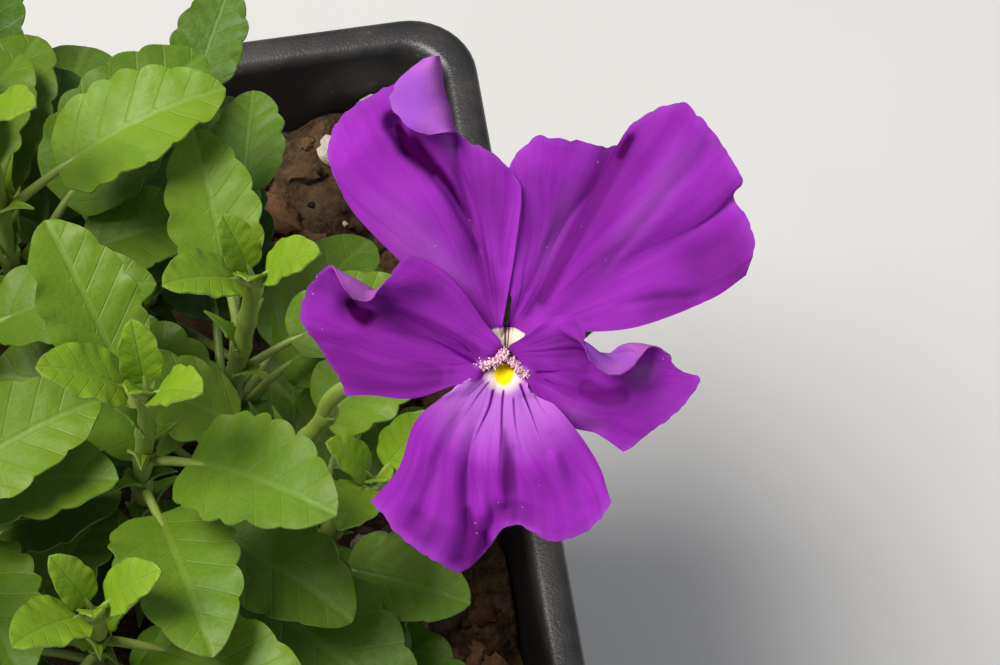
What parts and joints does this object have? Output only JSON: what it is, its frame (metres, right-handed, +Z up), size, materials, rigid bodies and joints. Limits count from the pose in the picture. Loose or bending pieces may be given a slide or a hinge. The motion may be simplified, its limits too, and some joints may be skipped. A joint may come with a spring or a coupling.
{
  "type": "potted viola planter",
  "caption": "Small violet-flowered viola growing in a square dark grey nursery planter filled with potting soil; stands on its flat base.",
  "frame": {"origin": "centre of the planter's flat underside", "axes": "+Z up along the planter's axis; the planter's sides face X and Y, and the pictured bloom faces -Y and up"},
  "size_m": [0.1412, 0.1339, 0.1918],
  "materials": {
    "planter_plastic": "dark grey moulded plastic, slightly glossy",
    "potting_soil": "moist brown potting soil with pale perlite grains",
    "foliage": "mid-green leaves and stems, waxy sheen",
    "petal": "velvety violet petals with darker veins and a yellow eye",
    "bud": "rolled violet petals",
    "stamen": "cream and orange-yellow"
  },
  "bodies": {
    "root": {"planter": "planter_plastic", "soil": "potting_soil", "flowering_stem_1": "foliage", "flowering_stem_2": "foliage", "flowering_stem_3": "foliage", "budding_stem_1": "foliage", "budding_stem_2": "foliage", "budding_stem_3": "foliage", "leafy_stem_01": "foliage", "leafy_stem_02": "foliage", "leafy_stem_03": "foliage", "leafy_stem_04": "foliage", "leafy_stem_05": "foliage", "leafy_stem_06": "foliage", "leafy_stem_07": "foliage", "leafy_stem_08": "foliage", "leafy_stem_09": "foliage", "leafy_stem_10": "foliage", "leafy_stem_11": "foliage", "petal_upper_left": "petal", "petal_upper_right": "petal", "petal_side_left": "petal", "petal_side_right": "petal", "petal_lower": "petal", "stamen_cone": "stamen", "bloom_2_petals": "petal", "bloom_3_petals": "petal", "bud_1": "bud", "bud_2": "bud", "bud_3": "bud"}
  },
  "joints": []
}
